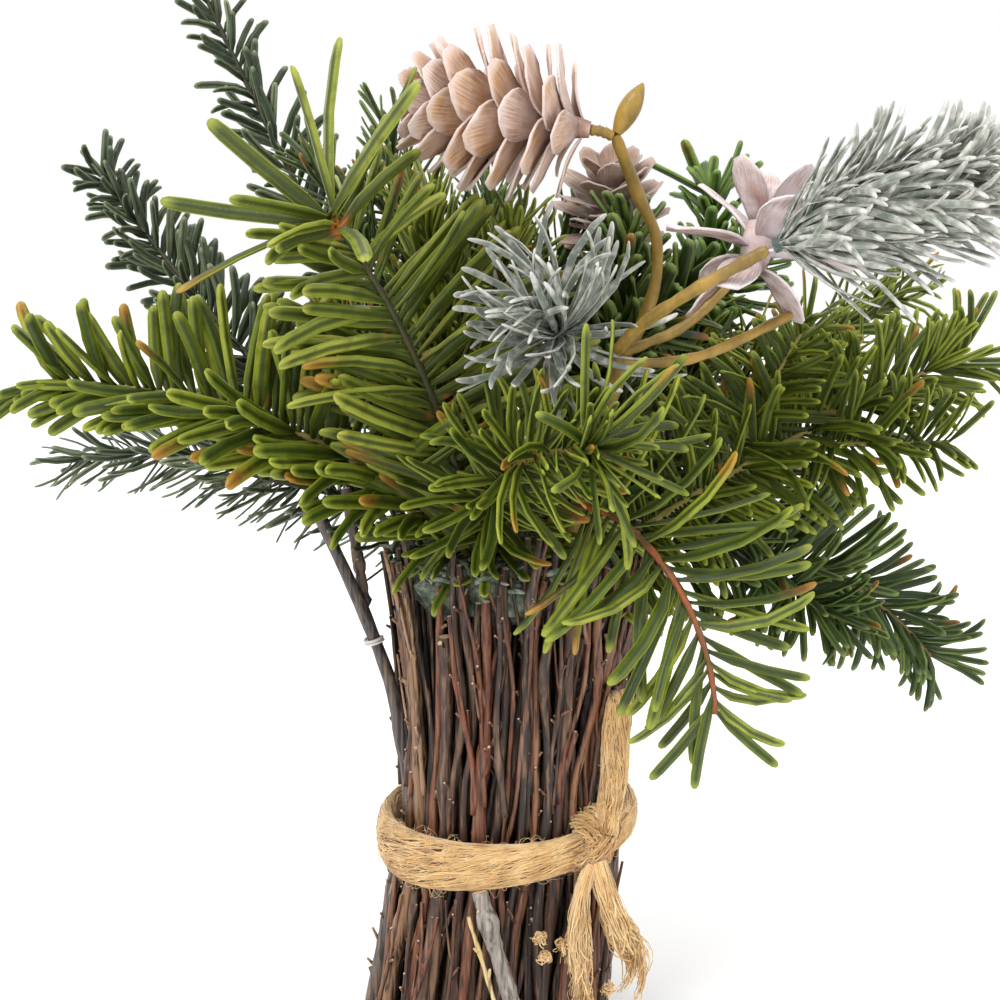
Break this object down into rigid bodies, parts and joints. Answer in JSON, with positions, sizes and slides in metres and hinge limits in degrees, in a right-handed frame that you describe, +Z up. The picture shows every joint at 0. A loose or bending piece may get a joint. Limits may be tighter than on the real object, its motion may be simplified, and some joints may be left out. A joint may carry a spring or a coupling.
{
  "type": "bunch of twigs",
  "caption": "Bunch of cut twigs tied with jute cord that stands on its cut ends and holds fir sprays, pine cones and frosted plumes.",
  "frame": {"origin": "on the plane of the cut ends, under the middle of the tied waist", "axes": "+Z up along the bunch, -Y the front, where the knot and the cones face"},
  "size_m": [0.2245, 0.1921, 0.2421],
  "materials": {
    "bark": "thin rough bark, purple-brown, with pale cut ends",
    "dark_bark": "dark grey-brown bark with pale lenticels",
    "grey_bark": "weathered grey bark",
    "moss": "crumbled grey-green dried moss",
    "jute": "loosely laid jute fibre, hairy, golden tan",
    "fir": "flexible moulded needles, satin, olive to blue-green, with orange-red spots",
    "cone": "dry cone scales dusted pale lilac",
    "frosted": "grey-teal needles frosted white",
    "ochre": "satin mustard-ochre stems",
    "wire": "thin pale wire"
  },
  "bodies": {
    "root": {"bud": "ochre", "cord_knot": "jute", "cord_loop": "jute", "cord_wrap": "jute", "fir_spray_front_centre": "fir", "fir_spray_front_left_tall": "fir", "fir_spray_left_long": "fir", "fir_spray_left_low": "fir", "fir_spray_left_rear": "fir", "fir_spray_middle_rear": "fir", "fir_spray_middle_tall": "fir", "fir_spray_rear_left": "fir", "fir_spray_rear_left_short": "fir", "fir_spray_rear_left_tall": "fir", "fir_spray_rear_low": "fir", "fir_spray_rear_right": "fir", "fir_spray_right_hanging": "fir", "fir_spray_right_long": "fir", "fir_spray_right_low": "fir", "fir_spray_right_middle": "fir", "fir_spray_right_rear_tall": "fir", "fir_spray_right_tall": "fir", "forked_twig": "dark_bark", "forked_twig_prong": "dark_bark", "frayed_tail_front": "jute", "frayed_tail_side": "jute", "front_cone": "cone", "front_cone_stalk": "ochre", "front_cone_stem": "ochre", "frosted_plume": "frosted", "frosted_star": "frosted", "grey_twig": "grey_bark", "lilac_cone": "cone", "lilac_cone_stem": "ochre", "low_stem": "ochre", "moss_plug": "moss", "packed_twigs": "bark", "pick_stalk": "ochre", "plume_stem": "ochre", "rear_cone": "cone", "rear_cone_stem": "ochre", "star_stem": "ochre", "straw_twig": "grey_bark", "twig_01": "bark", "twig_02": "bark", "twig_03": "bark", "twig_04": "bark", "twig_05": "bark", "twig_06": "bark", "twig_07": "bark", "twig_08": "bark", "twig_09": "bark", "twig_11": "bark", "twig_12": "bark", "twig_13": "bark", "twig_14": "bark", "twig_15": "bark", "twig_16": "bark", "twig_17": "bark", "wire_tie": "wire"}
  },
  "joints": []
}
